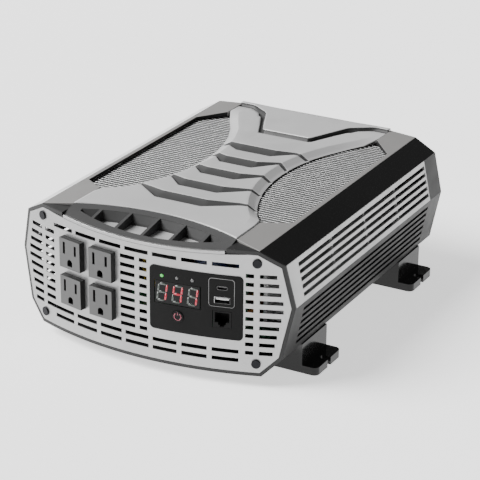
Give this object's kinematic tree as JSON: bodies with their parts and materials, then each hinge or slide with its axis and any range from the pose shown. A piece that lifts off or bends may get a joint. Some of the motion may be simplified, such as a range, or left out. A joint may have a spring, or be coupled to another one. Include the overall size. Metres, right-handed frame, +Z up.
{
  "type": "power inverter",
  "caption": "Mains power inverter with a bowed vented front, outlets, digital display, louvred sides, sculpted top cover, bracket feet, rear fans and battery studs.",
  "frame": {"origin": "Middle of the whole object's length and width, on the surface the feet stand on.", "axes": "X runs to the right seen from the front, Y runs from the bowed front to the terminals at the rear, Z is up."},
  "size_m": [0.27, 0.3496, 0.1225],
  "materials": {
    "dark_case": "satin dark grey powder coat",
    "silver_louvre": "satin silver paint",
    "gloss_trim": "polished black moulding",
    "grey_rail": "fine textured warm grey",
    "silver_cover": "fine textured light silver",
    "grille_mesh": "satin grey paint",
    "scoop_grey": "fine textured dark grey",
    "plate_silver": "fine brushed, satin",
    "outlet_grey": "smooth moulded dark grey",
    "contact_brass": "plain formed strip",
    "panel_black": "printed film, satin black",
    "display_dark": "tinted red window",
    "display_red": "lit red segments",
    "lamp_green": "green lens",
    "button_black": "fine textured black",
    "port_steel": "plain formed shell",
    "jack_black": "moulded black",
    "screw_black": "black oxide",
    "screw_steel": "zinc plated",
    "board_green": "solder mask",
    "foot_black": "black powder coat",
    "fan_black": "moulded black",
    "wire_steel": "nickel plated wire",
    "terminal_red": "moulded red",
    "terminal_black": "moulded black",
    "stud_brass": "plain turned",
    "nut_steel": "nickel plated",
    "sink_aluminium": "extruded, plain",
    "core_ferrite": "dark ferrite, matte",
    "winding_tape": "wrapped yellow tape",
    "capacitor_blue": "dark blue sleeve",
    "fuse_orange": "moulded orange",
    "choke_copper": "enamelled copper wire"
  },
  "bodies": {
    "case": {"lower_case": "dark_case", "left_louvre": "silver_louvre", "right_louvre": "silver_louvre", "left_trim": "gloss_trim", "right_trim": "gloss_trim", "left_top_rail": "grey_rail", "right_top_rail": "grey_rail", "top_cover": "silver_cover", "cover_crest": "silver_cover", "left_grille": "grille_mesh", "right_grille": "grille_mesh", "rear_collar": "dark_case", "rear_plate": "dark_case", "front_bezel": "gloss_trim", "front_plate": "plate_silver", "top_lip": "plate_silver", "vent_scoop": "scoop_grey", "outlet_upper_left": "outlet_grey", "outlet_upper_right": "outlet_grey", "outlet_lower_left": "outlet_grey", "outlet_lower_right": "outlet_grey", "outlet_contacts": "contact_brass", "control_overlay": "panel_black", "display_module": "display_dark", "display_digits": "display_red", "indicator_lights": "lamp_green", "button_switch": "jack_black", "usb_c_port": "port_steel", "usb_a_port": "port_steel", "remote_jack": "jack_black", "plate_screws": "screw_black", "front_board": "board_green", "front_left_foot": "foot_black", "front_right_foot": "foot_black", "rear_left_foot": "foot_black", "rear_right_foot": "foot_black", "foot_screws": "screw_steel", "left_fan_frame": "fan_black", "right_fan_frame": "fan_black", "fan_guards": "wire_steel", "fan_screws": "screw_black", "positive_terminal_base": "terminal_red", "negative_terminal_base": "terminal_black", "terminal_studs": "stud_brass", "terminal_nuts": "nut_steel", "ground_terminal": "stud_brass", "rear_screws": "screw_black", "main_board": "board_green", "board_standoffs": "contact_brass", "left_heat_sink": "sink_aluminium", "right_heat_sink": "sink_aluminium", "power_transistors": "jack_black", "transformer_cores": "core_ferrite", "transformer_windings": "winding_tape", "capacitors": "capacitor_blue", "input_fuses": "fuse_orange", "output_choke": "choke_copper"},
    "power_button": {"power_button": "button_black"},
    "left_fan_rotor": {"left_fan_rotor": "fan_black"},
    "right_fan_rotor": {"right_fan_rotor": "fan_black"}
  },
  "joints": [
    {"name": "power_button_press", "type": "slide", "parent": "case", "child": "power_button", "axis": [-0.1283, 0.9917, 0], "range_m": [0, 0.001], "stiffness_N_per_m": 1500},
    {"name": "left_fan_spin", "type": "hinge", "parent": "case", "child": "left_fan_rotor", "pos_m": [-0.078, 0.1313, 0.066], "axis": [0, 1, 0], "continuous": true},
    {"name": "right_fan_spin", "type": "hinge", "parent": "case", "child": "right_fan_rotor", "pos_m": [0.078, 0.1313, 0.066], "axis": [0, 1, 0], "continuous": true}
  ]
}
